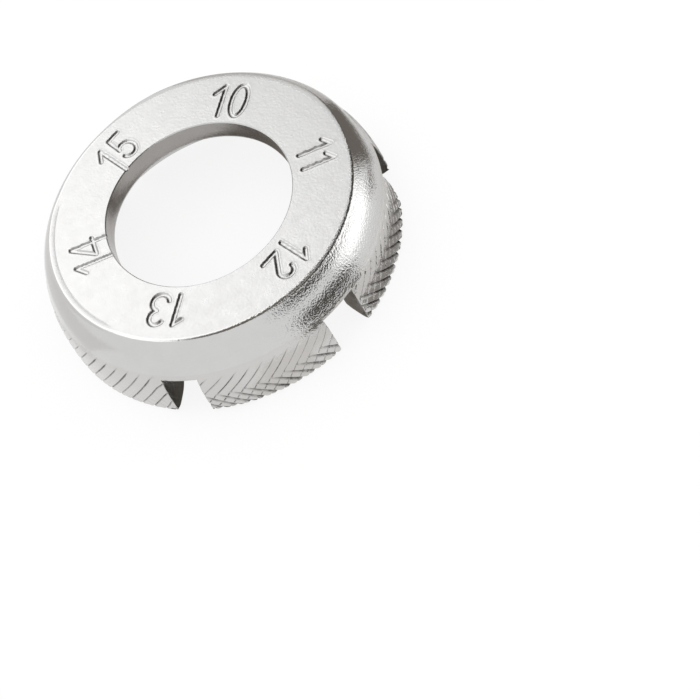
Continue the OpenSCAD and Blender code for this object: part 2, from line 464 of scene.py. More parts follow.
class Shell:
    """Points and faces gathered row by row, with each face's zone and each point's knurl share."""

    def __init__(self):
        self.points, self.knurl, self.around, self.faces, self.zones = [], [], [], [], []
        # Each stamped point's share of grime and painted shade, darker on the flanks that fall one way
        self.soiling_and_shade = {}

    def row(self, angles, r, z, knurl=0.0, own=None):
        """Adds a row of points and returns (angles, numbers of the points).

        A point that is moved round the ring keeps its own angle for the knurl.
        """
        angles = np.asarray(angles, float)
        r = np.broadcast_to(np.asarray(r, float), angles.shape)
        z = np.broadcast_to(np.asarray(z, float), angles.shape)
        start = len(self.points)
        self.points.extend(zip(r * np.cos(angles), r * np.sin(angles), z))
        self.knurl.extend([knurl] * len(angles))
        self.around.extend(angles if own is None else own)
        return angles, np.arange(start, start + len(angles))

    def face(self, corners, zone):
        """Adds a face of numbered points."""
        self.faces.append([int(c) for c in corners])
        self.zones.append(zone)

    def quads(self, a, b, zone, closed):
        """Joins two rows of the same columns."""
        ia, ib = a[1], b[1]
        n = len(ia)
        for i in range(n if closed else n - 1):
            j = (i + 1) % n
            self.face((ia[i], ia[j], ib[j], ib[i]), zone)

    def zip(self, a, b, zone, closed):
        """Joins two rows of different columns with triangles."""
        if len(a[1]) == len(b[1]) and np.allclose(a[0], b[0], atol=ALIKE_ANGLE):
            self.quads(a, b, zone, closed)
            return
        ta, ia, tb, ib = a[0], a[1], b[0], b[1]
        if closed:
            first = int(np.argmin(np.abs((tb - ta[0] + math.pi) % TURN - math.pi)))
            tb = np.roll(tb, -first)
            ib = np.roll(ib, -first)
            ta = np.append(ta, ta[0] + TURN)
            ia = np.append(ia, ia[0])
            tb = tb + TURN * np.round((ta[0] - tb[0]) / TURN)
            tb = np.append(tb, tb[0])
            ib = np.append(ib, ib[0])
            while (np.diff(tb) < 0).any():
                drop = int(np.argmax(np.diff(tb) < 0)) + 1
                tb[drop:] += TURN
        i = j = 0
        while i < len(ia) - 1 or j < len(ib) - 1:
            ahead_a = ta[i + 1] if i < len(ia) - 1 else np.inf
            ahead_b = tb[j + 1] if j < len(ib) - 1 else np.inf
            if abs(ahead_a - ahead_b) < SAME_ANGLE:
                self.face((ia[i], ia[i + 1], ib[j + 1], ib[j]), zone)
                i, j = i + 1, j + 1
            elif ahead_a < ahead_b:
                self.face((ia[i], ia[i + 1], ib[j]), zone)
                i += 1
            else:
                self.face((ia[i], ib[j + 1], ib[j]), zone)
                j += 1


def wall_angle(slot, side, offset, r):
    """Angle of the point at radius r that lies offset from a slot's middle plane."""
    return math.radians(slot[1]) + side * math.asin(offset / r)


# For the gauge of each tooth's first slot: the lean of the tooth's long grooves in degrees, low and
# high on the rim, and the stretch beside its slots that is moved less and less, in millimetres
LEANS = {14: (40.5, 40.5, 1.0), 13: (42.0, 50.0, 1.8), 12: (42.0, 51.0, 1.8)}
# Height at which a tooth's grooves stay in their places, in millimetres
STILL_HEIGHT = 3.2

# Painted shade on the stamped numbers: the grime in their strokes is kept darker on the flanks that
# fall towards this side, where the strokes lie in shade and are darkest. A flank's fall is measured
# over the step, in millimetres. Its grime and painted shade is the level share plus the fall times
# the gain, and never under the least share.
PAINTED_SHADE_SIDE = (math.cos(math.radians(18)), math.sin(math.radians(18)))
PAINTED_SHADE_STEP = 0.04
SOILING_AND_SHADE_LEVEL_SHARE = 0.4
PAINTED_SHADE_GAIN = 1.6
SOILING_AND_SHADE_LEAST_SHARE = 0.06


def smooth(share):
    """A share from zero to one with soft ends."""
    share = np.clip(share, 0, 1)
    return share * share * (3 - 2 * share)


def within(angles, low, high, soft):
    """One inside an arc and zero outside, soft at both ends, in degrees."""
    middle, half = (low + high) / 2, (high - low) / 2
    away = np.abs((np.degrees(angles) - middle + 180) % 360 - 180)
    return smooth((half + soft - away) / soft)


class Ring:
    """Builds the whole ring's shell."""

    FINE = 840
    COARSE = 280

    def __init__(self, sizes, knurl):
        self.section = Section(sizes)
        self.sizes = sizes
        self.knurl = knurl
        self.shell = Shell()
        s = self.section.s
        self.pitch = TURN * s["rim_radius"] / self.FINE
        self.rows_below = int((s["slot_height"] - s["land_rise"]) / self.pitch) + 2
        self.edge_top = s["land_rise"] + (self.rows_below + 1) * self.pitch - s["slot_height"]
        self.edge_side = self.edge_top * SLOT_EDGE_SHARE
        self.order = sorted(SLOTS, key=lambda slot: slot[1])

    def lattice(self, low, high, margin):
        """Whole knurl columns strictly between two angles, in radians."""
        step = TURN / self.FINE
        first = math.ceil((low + margin) / step)
        last = math.floor((high - margin) / step)
        return [k * step for k in range(first, last + 1)]

    def offset(self, slot):
        """Distance from a slot's middle plane to where its rounded edge begins."""
        return slot[2] / 2 + self.edge_side

    def segment_fine(self, index, r):
        """Columns of the tooth after slot number index, on the knurled band, at radius r."""
        a, b = self.order[index], self.order[(index + 1) % len(self.order)]
        shift = TURN if index == len(self.order) - 1 else 0
        inner = self.section.outer_r(self.section.s["slot_height"] + COLUMNS_ABOVE)
        low = wall_angle(a, 1, self.offset(a), inner)
        high = wall_angle(b, -1, self.offset(b), inner) + shift
        columns = self.lattice(low, high, COLUMN_MARGIN * TURN / self.FINE)
        return ([wall_angle(a, 1, self.offset(a), r)] + columns
                + [wall_angle(b, -1, self.offset(b), r) + shift])

    def gap_fine(self, index, r):
        """Columns strictly inside the slot number index, on the knurled band."""
        a = self.order[index]
        rim = self.section.s["rim_radius"]
        low, high = (wall_angle(a, side, self.offset(a), rim) for side in (-1, 1))
        return self.lattice(low, high, COLUMN_MARGIN * TURN / self.FINE)

    def segment_even(self, index, r):
        """Evenly spread columns of a tooth at radius r, for the land and the cup."""
        a, b = self.order[index], self.order[(index + 1) % len(self.order)]
        shift = TURN if index == len(self.order) - 1 else 0
        count = round(((b[1] - a[1]) % 360) / 360 * self.COARSE)
        low = wall_angle(a, 1, self.offset(a), r)
        high = wall_angle(b, -1, self.offset(b), r) + shift
        return list(np.linspace(low, high, count + 1))

    def gap_even(self, index, r):
        """Evenly spread columns strictly inside the slot number index at radius r."""
        a = self.order[index]
        low, high = (wall_angle(a, side, self.offset(a), r) for side in (-1, 1))
        return list(np.linspace(low, high, SLOT_STEPS + 1))[1:-1]

    def drift(self, angles, z):
        """How far round each knurl column is moved at height z, so that the grooves lean rightly."""
        angles = np.asarray(angles, float)
        rim = self.section.s["rim_radius"]
        moved = np.zeros(len(angles))
        for index, slot in enumerate(self.order):
            if slot[0] not in LEANS:
                continue
            after = self.order[index + 1]
            lean = LEANS[slot[0]][0 if z < STILL_HEIGHT else 1]
            stretch = LEANS[slot[0]][2]
            low = math.radians(slot[1]) * rim + self.offset(slot)
            high = math.radians(after[1]) * rim - self.offset(after)
            turned = (angles + math.pi) % TURN - math.pi
            room = np.minimum(turned * rim - low, high - turned * rim) / stretch
            shift = (math.tan(math.radians(lean)) - 1) * (z - STILL_HEIGHT)
            moved += smooth(room) * shift / rim
        return moved

    def fine_row(self, own, r, z, knurl):
        """A row of knurl columns at radius r and height z."""
        return self.shell.row(np.asarray(own, float) + self.drift(own, z), r, z, knurl, own)

    def knurl_faces(self, low, high, level, closed):
        """Joins two rows of knurl columns with triangles that follow the nearer family of grooves."""
        column_angle = TURN / self.FINE
        per_groove = self.FINE // self.knurl.count
        z = self.section.s["land_rise"] + level * self.pitch
        n = len(low[1])
        for i in range(n if closed else n - 1):
            j = (i + 1) % n
            angle = self.shell.around[int(low[1][i])]
            turned = (angle + math.pi) % TURN - math.pi
            bare = self.knurl.bare_from < turned < self.knurl.bare_to
            column = math.floor(angle / column_angle + SAME_ANGLE)
            away = (column + 1 + level) % per_groove - per_groove // 2
            a, b, c, d = low[1][i], low[1][j], high[1][j], high[1][i]
            deep = self.knurl.deep_from < turned < self.knurl.deep_to
            top = self.knurl.short_top + (self.knurl.deep_rise if deep else 0)
            if abs(away) <= GROOVE_COLUMNS and z * MM < top and not bare:
                self.shell.face((a, b, d), BAND)
                self.shell.face((b, c, d), BAND)
            else:
                self.shell.face((a, b, c), BAND)
                self.shell.face((a, c, d), BAND)

    def build(self):
        """Every zone in turn, and then the finished shell."""
        self.band()
        self.teeth()
        self.slots()
        self.shoulder_and_face()
        self.cup()
        return self.shell

    def full_row(self, segment, gap, r, z, knurl):
        """A closed row over teeth and slots. Returns the row, its teeth's parts and its slots' parts."""
        angles, teeth, slots = [], [], []
        for i in range(len(self.order)):
            own = segment(i, r)
            teeth.append((len(angles), len(angles) + len(own)))
            angles += own
            after = (i + 1) % len(self.order)
            shift = TURN if after == 0 else 0
            inside = [a + shift for a in gap(after, r)]
            slots.append((after, len(angles) - 1, len(angles) + len(inside)))
            angles += inside
        row = self.fine_row(angles, r, z, knurl) if knurl else self.shell.row(angles, r, z)
        return row, teeth, slots

    def part(self, row, start, stop):
        """The columns start to stop of a closed row, stop included."""
        numbers = np.arange(start, stop + 1)
        wrap = numbers // len(row[1])
        return row[0][numbers % len(row[1])] + wrap * TURN, row[1][numbers % len(row[1])]

    def band(self):
        """The knurled band above the slots' floors, all the way round."""
        s = self.section.s
        first = self.rows_below + 1
        last = first + BAND_ROWS
        self.band_rows = []
        for j in range(first, last + 1):
            z = s["land_rise"] + j * self.pitch
            made = self.full_row(self.segment_fine, self.gap_fine, self.section.outer_r(z), z, 1.0)
            self.band_rows.append(made)
        for j, (a, b) in enumerate(zip(self.band_rows[:-1], self.band_rows[1:])):
            self.knurl_faces(a[0], b[0], first + j, True)

    def teeth(self):
        """Flank, bevel, land and inner wall of each tooth between two slots."""
        s = self.section.s
        shell = self.shell
        base_row, base_teeth, _ = self.band_rows[0]
        z_even = s["slot_height"] + self.edge_top
        inner_full = self.full_row(self.segment_even, self.gap_even,
                                   self.section.inner_r(z_even), z_even, 0.0)
        self.inner_row = inner_full
        self.paths = {}
        land = self.section.land(LAND_STEPS)
        bevel_low = land[0]
        wall_heights = np.linspace(s["land_rise"], s["slot_height"], WALL_STEPS + 1)[1:]
        wall_heights[-1] -= WALL_STOP
        wall_inward = (math.cos(self.section.draft), math.sin(self.section.draft))
        for i in range(len(self.order)):
            start, stop = base_teeth[i]
            above = self.part(base_row, start, stop - 1)
            path = [("corner", above, self.section.outer_r(z_even), z_even, (-1.0, 0.0))]
            for j in range(self.rows_below, -1, -1):
                z = s["land_rise"] + j * self.pitch
                r = float(self.section.outer_r(z))
                rise = self.section.outer_r(z + SLOPE_SPAN) - self.section.outer_r(z - SLOPE_SPAN)
                slope = float(rise) / (2 * SLOPE_SPAN)
                inward = np.array([-1.0, slope]) / math.hypot(1, slope)
                if j == 0:
                    inward = RIM_INWARD
                row = self.fine_row(self.segment_fine(i, r), r, z, 1.0)
                self.knurl_faces(row, above, j, False)
                above = row
                path.append(("wall", row, r, z, tuple(inward)))
            for share, weight in BEVEL_ROWS:
                r, z = self.section.rim + (bevel_low - self.section.rim) * share
                row = self.fine_row(self.segment_fine(i, r), r, z, weight)
                shell.quads(above, row, LAND, False)
                above = row
                path.append(("wall", row, r, z, BEVEL_INWARD))
            for r, z in land[1:]:
                row = shell.row(self.segment_even(i, r), r, z)
                shell.zip(above, row, LAND, False)
                above = row
                at_mouth = abs(r - s["cup_radius"]) < HAIR
                path.append(("wall", row, r, z, MOUTH_INWARD if at_mouth else LAND_INWARD))
            for z in wall_heights:
                r = self.section.inner_r(z)
                row = shell.row(self.segment_even(i, r), r, z)
                shell.quads(above, row, CUP, False)
                above = row
                path.append(("wall", row, r, z, wall_inward))
            start, stop = inner_full[1][i]
            top = self.part(inner_full[0], start, stop - 1)
            shell.quads(above, top, CUP, False)
            path.append(("corner", top, self.section.inner_r(z_even), z_even, (1.0, 0.0)))
            self.paths[i] = path

    def slots(self):
        """Each slot's rounded edges, its two walls and its floor."""
        for i, slot in enumerate(self.order):
            before = (i - 1) % len(self.order)
            outer = next(p for p in self.band_rows[0][2] if p[0] == i)
            inner = next(p for p in self.inner_row[2] if p[0] == i)
            outer_gap = self.part(self.band_rows[0][0], outer[1], outer[2])
            inner_gap = self.part(self.inner_row[0], inner[1], inner[2])
            self.slot(slot, self.paths[before], self.paths[i], outer_gap, inner_gap)

    def slot(self, slot, left_path, right_path, outer_gap, inner_gap):
        """One slot between the paths down its two sides, closed over by its roof."""
        shell = self.shell
        s = self.section.s
        half, floor = slot[2] / 2, s["slot_height"]
        top, aside = self.edge_top, self.edge_side
        left = [(k, row[1][-1], row[0][-1], r, z, n) for k, row, r, z, n in left_path]
        right = [(k, row[1][0], row[0][0], r, z, n) for k, row, r, z, n in right_path]
        loop = []
        for k, number, angle, r, z, n in reversed(left):
            loop.append((k, -1, number, angle, r, z, n))
        for angle, number in list(zip(*outer_gap))[1:-1]:
            loop.append(("floor", 0, number, angle, s["rim_radius"], floor + top, (-1.0, 0.0)))
        for k, number, angle, r, z, n in right:
            loop.append((k, 1, number, angle, r, z, n))
        for angle, number in list(zip(*inner_gap))[1:-1][::-1]:
            loop.append(("floor", 0, number, angle, 0.0, floor + top, (1.0, 0.0)))
        previous = np.array([p[2] for p in loop])
        for step in range(1, ROUND_STEPS + 1):
            phi = step / ROUND_STEPS * math.pi / 2
            sink, off = 1 - math.cos(phi), 1 - math.sin(phi)
            numbers = []
            for kind, side, _, angle, r, z, n in loop:
                if kind == "wall":
                    r2, z2 = r + aside * sink * n[0], z + aside * sink * n[1]
                    z2 = min(z2, floor + top * off)
                    on_flank = r > s["cup_radius"] + KNURL_START and z > s["land_rise"] - HAIR
                    weight = 1.0 if on_flank else 0.0
                else:
                    z2 = floor + top * off
                    outside = n[0] < 0
                    r2 = (self.section.outer_r(z2) - top * sink if outside
                          else self.section.inner_r(z2) + top * sink)
                    weight = 1.0 if outside else 0.0
                if side:
                    angle = wall_angle(slot, side, half + aside * off, r2)
                row = shell.row([angle], r2, z2, weight)
                numbers.append(row[1][0])
            numbers = np.array(numbers)
            n = len(numbers)
            for a in range(n):
                b = (a + 1) % n
                highest = max(loop[a][5], loop[b][5])
                zone = LAND if highest < s["land_rise"] + HAIR else SLOT
                shell.face((previous[a], previous[b], numbers[b], numbers[a]), zone)
            previous = numbers
        count_left, count_right = len(left), len(right)
        gap = len(outer_gap[1]) - 2
        wall_left = list(previous[:count_left])
        wall_right = list(previous[count_left + gap:count_left + gap + count_right])
        roof_out = list(previous[count_left - 1:count_left + gap + 1])
        roof_in = list(previous[count_left + gap + count_right - 1:]) + [previous[0]]
        shell.face(wall_left, SLOT)
        shell.face(wall_right, SLOT)
        shell.face(roof_out + roof_in, SLOT)

    def shoulder_and_face(self):
        """From the band up over the shoulder and the numbered face to the bore."""
        s = self.section.s
        shell = self.shell
        band_top = self.band_rows[-1][0]
        z_top = s["land_rise"] + (self.rows_below + 1 + BAND_ROWS) * self.pitch
        coarse = np.arange(self.COARSE) * TURN / self.COARSE
        heights = np.linspace(z_top, self.section.brow[1], SHOULDER_STEPS + 1)[1:]
        above = band_top
        swell = self.sizes.back_swell / MM * within(coarse, *SWELL_ARC)
        for z in heights:
            grown = smooth((z - z_top) / (self.section.brow[1] - SWELL_FULL - z_top))
            row = shell.row(coarse, self.section.outer_r(z) + swell * grown, z)
            shell.zip(above, row, SHOULDER, True)
            above = row
        edge = s["face_edge"]
        brow = self.section.brow
        dipped = within(coarse, *DIP_ARC)
        rim = s["face_radius"] - self.sizes.edge_reach / MM * (1 - dipped)
        for step in range(1, FACE_EDGE_STEPS + 1):
            t = step / FACE_EDGE_STEPS
            shares = ((1 - t) ** 3, 3 * t * (1 - t) ** 2, 3 * t * t * (1 - t), t ** 3)
            r = (shares[0] * (brow[0] + swell) + shares[1] * (brow[0] - edge * EDGE_OUT_SHARE + swell)
                 + shares[2] * (rim + edge * EDGE_IN_SHARE) + shares[3] * rim)
            z = (shares[0] * brow[1] + shares[1] * (s["height"] - edge * EDGE_TOP_SHARE)
                 + (shares[2] + shares[3]) * s["height"])
            row = shell.row(coarse, r, z)
            shell.quads(above, row, SHOULDER, True)
            above = row
        above = self.face(above, coarse)
        bore = s["bore_radius"]
        for z in [s["height"] - deep for deep in BORE_ROWS] + [self.section.crest + BORE_LIP_ROW]:
            row = shell.row(coarse, bore, z)
            shell.zip(above, row, BORE, True)
            above = row
        self.bore_row = above
        self.coarse = coarse

    def face(self, above, coarse):
        """The flat face, with fine columns where numbers are stamped into it."""
        s = self.section.s
        shell = self.shell
        fine = []
        for angle, strokes in NUMBERS:
            across = [x for stroke in strokes for x, _ in stroke]
            start = math.radians(angle) - (max(across) + NUMBER_MARGIN) / MARGIN_RADIUS
            stop = math.radians(angle) - (min(across) - NUMBER_MARGIN) / MARGIN_RADIUS
            fine.append((start, stop))
        columns = []
        for start, stop in fine:
            columns += list(np.arange(start, stop, FACE_GRID / SPACING_RADIUS))
        clear = COARSE_MARGIN * TURN / self.COARSE
        for c in coarse:
            inside = any(start - clear < c + k * TURN < stop + clear
                         for start, stop in fine for k in (-1, 0, 1))
            if not inside:
                columns.append(c)
        columns = np.array(sorted(c % TURN for c in columns))
        dip = self.sizes.border_dip / MM * within(columns, *DIP_ARC)
        for away, share in DIP_ROWS:
            row = shell.row(columns, s["face_radius"] - away, s["height"] - dip * share)
            shell.zip(above, row, FACE, True)
            above = row
        innermost = s["bore_radius"] + BORE_CHAMFER
        radii = list(np.arange(NUMBER_TOP, innermost + FACE_GRID / 2, -FACE_GRID))
        radii.append(innermost)
        for r in radii:
            row = shell.row(columns, r, s["height"])
            x, y = r * np.cos(columns), r * np.sin(columns)
            heights = stamped(x, y, self.sizes)
            # Painted shade: each point's grime is weighted by how far its flank falls towards one side,
            # which darkens those flanks as shade would
            ahead = stamped(x + PAINTED_SHADE_STEP * PAINTED_SHADE_SIDE[0], y + PAINTED_SHADE_STEP * PAINTED_SHADE_SIDE[1], self.sizes)
            falls = (heights - ahead) / PAINTED_SHADE_STEP
            for number, h, fall in zip(row[1], heights, falls):
                px, py, _ = shell.points[number]
                shell.points[number] = (px, py, s["height"] + h)
                share = min(max(-h / (self.sizes.stamp_depth / MM), 0.0), 1.0)
                kept = min(max(SOILING_AND_SHADE_LEVEL_SHARE + PAINTED_SHADE_GAIN * fall, SOILING_AND_SHADE_LEAST_SHARE), 1.0)
                shell.soiling_and_shade[int(number)] = 4 * share * (1 - share) * kept
            shell.zip(above, row, FACE, True)
            above = row
        low = s["height"] - CHAMFER_DROP
        row = shell.row(columns, s["bore_radius"], low)
        for number, h in zip(row[1], heights):
            px, py, _ = shell.points[number]
            shell.points[number] = (px, py, low + min(h, 0) * CHAMFER_STAMP_SHARE)
        shell.quads(above, row, FACE, True)
        return row

    def cup(self):
        """Bead, floor and fillet, from the bore's lower edge out to the cup's wall."""
        s = self.section.s
        shell = self.shell
        above = self.bore_row
        crest, floor = self.section.crest, self.section.floor
        angles = np.radians(np.linspace(180, 270, BORE_LIP_STEPS + 1))
        for a in angles[1:]:
            r = s["bore_radius"] + BORE_LIP + BORE_LIP * math.cos(a)
            z = crest + BORE_LIP + BORE_LIP * math.sin(a)
            row = shell.row(self.coarse, r, z)
            shell.quads(above, row, CUP, True)
            above = row
        fillet = self.section.fillet(FILLET_STEPS)
        middle = (s["crest_radius"] + s["bead_radius"]) / 2
        bead = bezier((s["crest_radius"], crest), (middle, crest), (middle, floor),
                      (s["bead_radius"], floor), BEAD_STEPS)
        ledge = fillet[-1][0] - STEP_BACK
        rest = [(s["bead_radius"] + FLOOR_ROW, floor), (ledge, floor),
                (ledge + STEP_RUN, floor + s["step"])]
        for r, z in list(bead) + rest:
            row = shell.row(self.coarse, r, z)
            shell.quads(above, row, CUP, True)
            above = row
        for r, z in fillet[::-1]:
            row = shell.row(self.coarse, r, z)
            shell.quads(above, row, CUP, True)
            above = row
        shell.zip(above, self.inner_row[0], CUP, True)


def shell_mesh(shell, name):
    """A closed mesh in metres from the gathered points, with its zone and knurl attributes."""
    mesh = bpy.data.meshes.new(name)
    points = np.array(shell.points) * MM
    mesh.from_pydata(points.tolist(), [], shell.faces)
    zone = mesh.attributes.new("zone", "INT", "FACE")
    zone.data.foreach_set("value", np.array(shell.zones, np.int32))
    knurl = mesh.attributes.new("knurl", "FLOAT", "POINT")
    knurl.data.foreach_set("value", np.array(shell.knurl, np.float32))
    around = mesh.attributes.new("around", "FLOAT", "POINT")
    around.data.foreach_set("value", np.array(shell.around, np.float32))
    # Each point's share of grime and painted shade, which the finishes darken by
    soiling_and_shade = mesh.attributes.new("soiling_and_shade", "FLOAT", "POINT")
    depths = np.zeros(len(points), np.float32)
    depths[list(shell.soiling_and_shade)] = list(shell.soiling_and_shade.values())
    soiling_and_shade.data.foreach_set("value", depths)
    work = bmesh.new()
    work.from_mesh(mesh)
    bmesh.ops.remove_doubles(work, verts=work.verts, dist=1e-8)
    bmesh.ops.recalc_face_normals(work, faces=work.faces)
    work.to_mesh(mesh)
    work.free()
    return mesh


# The knurl's ends: how steeply the bare and the deep arc set in, per radian, and in metres how much
# higher the long grooves reach on the bare arc and the height over which they fade
BARE_STEEPNESS = 30.0
DEEP_STEEPNESS = 5.0
BARE_RISE = 0.0005
LONG_FADE = 0.0009
# Power of the short grooves' fade, and the share of their depth that the bare arc takes away
SHORT_FADE_POWER = 0.6
BARE_LOSS_SHARE = 0.9
# How much a groove's depth may fall short of its family's, and a number that keeps the draws of
# the two families apart
LONG_UNEVEN_SHARE = 0.3
SHORT_UNEVEN_SHARE = 0.2
LONG_SALT = 200.0
SHORT_SALT = 900.0
SEED = 7


def knurl_inputs(sizes, knurl):
    """The node tree's inputs by name, in metres and radians."""
    return {
        "Grooves": float(knurl.count), "Lean": knurl.lean, "Rim radius": sizes.rim_radius,
        "Rim height": sizes.land_rise, "Neck height": sizes.neck_height,
        "Long depth": knurl.long_depth, "Long width": knurl.long_width,
        "Short depth": knurl.short_depth, "Short width": knurl.short_width,
        "Short top": knurl.short_top, "Bare from": knurl.bare_from, "Bare to": knurl.bare_to,
        "Deep from": knurl.deep_from, "Deep to": knurl.deep_to,
        "Deep rise": knurl.deep_rise, "Deep gain": knurl.deep_gain,
        "Seed": SEED,
    }


class Tree:
    """A short way to write arithmetic in a Geometry Nodes tree."""

    def __init__(self, name):
        self.group = bpy.data.node_groups.new(name, "GeometryNodeTree")
        self.column = 0
        self.inputs = self.add("NodeGroupInput")

    def add(self, kind, **settings):
        """Adds a node and lays it out after the one before."""
        node = self.group.nodes.new(kind)
        for key, value in settings.items():
            setattr(node, key, value)
        self.column += 1
        node.location = (180 * (self.column % 12), -220 * (self.column // 12))
        return node

    def socket(self, name, kind, default=None):
        """Gives the tree a named input."""
        item = self.group.interface.new_socket(name, in_out="INPUT", socket_type=kind)
        if default is not None:
            item.default_value = default

    def attribute(self, name, kind="FLOAT"):
        """A named attribute of the mesh."""
        node = self.add("GeometryNodeInputNamedAttribute", data_type=kind)
        node.inputs["Name"].default_value = name
        return node.outputs["Attribute"]

    def link(self, a, b):
        self.group.links.new(a, b)

    def math(self, operation, *values):
        """The result of an operation on sockets and plain numbers."""
        node = self.add("ShaderNodeMath", operation=operation)
        for port, value in zip(node.inputs, values):
            if isinstance(value, (int, float)):
                port.default_value = value
            else:
                self.link(value, port)
        return node.outputs[0]

    def clamp01(self, value):
        """The value, kept between zero and one."""
        node = self.add("ShaderNodeClamp")
        self.link(value, node.inputs[0])
        return node.outputs[0]


def knurl_tree(finishes, inputs):
    """The tree that presses both families of grooves into the rim and gives each zone its finish."""
    tree = Tree("Knurled rim")
    tree.group.interface.new_socket("Geometry", in_out="OUTPUT", socket_type="NodeSocketGeometry")
    tree.socket("Geometry", "NodeSocketGeometry")
    for name, value in inputs.items():
        tree.socket(name, "NodeSocketInt" if isinstance(value, int) else "NodeSocketFloat", value)
    get = tree.inputs.outputs
    m = tree.math
    place = tree.add("ShaderNodeSeparateXYZ")
    tree.link(tree.add("GeometryNodeInputPosition").outputs[0], place.inputs[0])
    x, y, z = place.outputs
    angle = m("ARCTAN2", y, x)
    run = m("MULTIPLY", tree.attribute("around"), get["Rim radius"])
    rise = m("SUBTRACT", z, get["Rim height"])
    slant = m("MULTIPLY", rise, m("TANGENT", get["Lean"]))
    pitch = m("DIVIDE", m("MULTIPLY", get["Rim radius"], TURN), get["Grooves"])
    across = m("MULTIPLY", pitch, m("COSINE", get["Lean"]))

    def groove(shift, width, phase):
        """One at the middle of a groove, falling to zero at its edges, and the groove's number."""
        turns = m("ADD", m("DIVIDE", m("ADD", run, shift), pitch), phase)
        number = m("ROUND", turns)
        gap = m("MULTIPLY", m("ABSOLUTE", m("SUBTRACT", turns, number)), across)
        return tree.clamp01(m("SUBTRACT", 1.0, m("DIVIDE", gap, m("MULTIPLY", width, 0.5)))), number

    def uneven(number, amount, salt):
        """A share near one that differs from groove to groove."""
        noise = tree.add("FunctionNodeRandomValue", data_type="FLOAT")
        noise.inputs["Min"].default_value = 1.0 - amount
        noise.inputs["Max"].default_value = 1.0
        tree.link(m("ADD", number, salt), noise.inputs["ID"])
        tree.link(get["Seed"], noise.inputs["Seed"])
        return next(o for o in noise.outputs if o.type == "VALUE" and o.enabled)

    def on_arc(start, stop, steepness):
        """One well inside an arc of the rim and zero outside it."""
        inside = m("MINIMUM", m("SUBTRACT", angle, start), m("SUBTRACT", stop, angle))
        return tree.clamp01(m("MULTIPLY", inside, steepness))

    long_cut, long_number = groove(m("MULTIPLY", slant, -1.0), get["Long width"], 0.0)
    bare = on_arc(get["Bare from"], get["Bare to"], BARE_STEEPNESS)
    top = m("ADD", get["Neck height"], m("MULTIPLY", bare, BARE_RISE))
    fade_top = tree.clamp01(m("DIVIDE", m("SUBTRACT", top, z), LONG_FADE))
    long_cut = m("MULTIPLY", m("MULTIPLY", long_cut, fade_top), get["Long depth"])
    long_cut = m("MULTIPLY", long_cut, uneven(long_number, LONG_UNEVEN_SHARE, LONG_SALT))
    short_cut, short_number = groove(slant, get["Short width"], 0.5)
    deep = on_arc(get["Deep from"], get["Deep to"], DEEP_STEEPNESS)
    top = m("ADD", get["Short top"], m("MULTIPLY", deep, get["Deep rise"]))
    fade_short = tree.clamp01(m("DIVIDE", m("SUBTRACT", top, z), get["Short top"]))
    faded = m("MULTIPLY", short_cut, m("POWER", fade_short, SHORT_FADE_POWER))
    short_cut = m("MULTIPLY", faded, get["Short depth"])
    short_cut = m("MULTIPLY", short_cut, uneven(short_number, SHORT_UNEVEN_SHARE, SHORT_SALT))
    kept = m("SUBTRACT", 1.0, m("MULTIPLY", bare, BARE_LOSS_SHARE))
    gain = m("ADD", 1.0, m("MULTIPLY", deep, get["Deep gain"]))
    short_cut = m("MULTIPLY", m("MULTIPLY", short_cut, kept), gain)
    depth = m("MULTIPLY", m("MAXIMUM", long_cut, short_cut), tree.attribute("knurl"))
    radius = m("SQRT", m("ADD", m("MULTIPLY", x, x), m("MULTIPLY", y, y)))
    push = m("DIVIDE", m("MULTIPLY", depth, -1.0), radius)
    move = tree.add("ShaderNodeCombineXYZ")
    tree.link(m("MULTIPLY", x, push), move.inputs[0])
    tree.link(m("MULTIPLY", y, push), move.inputs[1])
    moved = tree.add("GeometryNodeSetPosition")
    tree.link(get["Geometry"], moved.inputs["Geometry"])
    tree.link(move.outputs[0], moved.inputs["Offset"])
    # The grooves' depth adds to each point's share of grime and painted shade, for the shade that falls in
    # them
    soiling_and_shade_level = tree.add("GeometryNodeStoreNamedAttribute", data_type="FLOAT", domain="POINT")
    soiling_and_shade_level.inputs["Name"].default_value = "soiling_and_shade"
    groove_share = tree.clamp01(m("DIVIDE", depth, get["Long depth"]))
    tree.link(m("MAXIMUM", tree.attribute("soiling_and_shade"), groove_share), soiling_and_shade_level.inputs["Value"])
    tree.link(moved.outputs[0], soiling_and_shade_level.inputs["Geometry"])
    real = tree.add("GeometryNodeRealizeInstances")
    tree.link(soiling_and_shade_level.outputs[0], real.inputs[0])
    last = real.outputs[0]
    for zone, material in finishes.items():
        same = tree.add("FunctionNodeCompare", data_type="INT", operation="EQUAL")
        ints = [i for i in same.inputs if i.type == "INT"]
        tree.link(tree.attribute("zone", "INT"), ints[0])
        ints[1].default_value = zone
        paint = tree.add("GeometryNodeSetMaterial")
        paint.inputs["Material"].default_value = material
        tree.link(last, paint.inputs["Geometry"])
        tree.link(same.outputs[0], paint.inputs["Selection"])
        last = paint.outputs[0]
    out = tree.add("NodeGroupOutput")
    tree.link(last, out.inputs[0])
    return tree.group


# Scales of the tone, of the patches of grime and painted shade and of the gloss, per metre
TONE_SCALE = 420.0
SOILING_AND_SHADE_SCALE = 1500.0
GLOSS_SCALE = 900.0
# How much of a stain's share also brightens the tone, and the part of the grime and painted shade that is
# everywhere
BRIGHTER_SHARE = 0.4
SOILING_AND_SHADE_FLOOR_SHARE = 0.5
# The span of noise over which the patches of grime and painted shade rise
SOILING_AND_SHADE_SPAN = (0.35, 0.6)
# The near black that the grime and painted shade darken the colour towards
SOILING_AND_SHADE_COLOUR = (0.03, 0.027, 0.024)
LEAST_ROUGHNESS = 0.03
# Height of the fine grain and the broad relief, in metres
RELIEF_HEIGHT = 0.00012
# Where the grain is smoother: the way it grows, the distance from the axis over which it does, in
# metres, and what is left of it on the other side
GRAIN_SIDE = (math.cos(math.radians(25)), math.sin(math.radians(25)), 0.0)
GRAIN_REACH = 0.006
GRAIN_LEFT_SHARE = 0.3


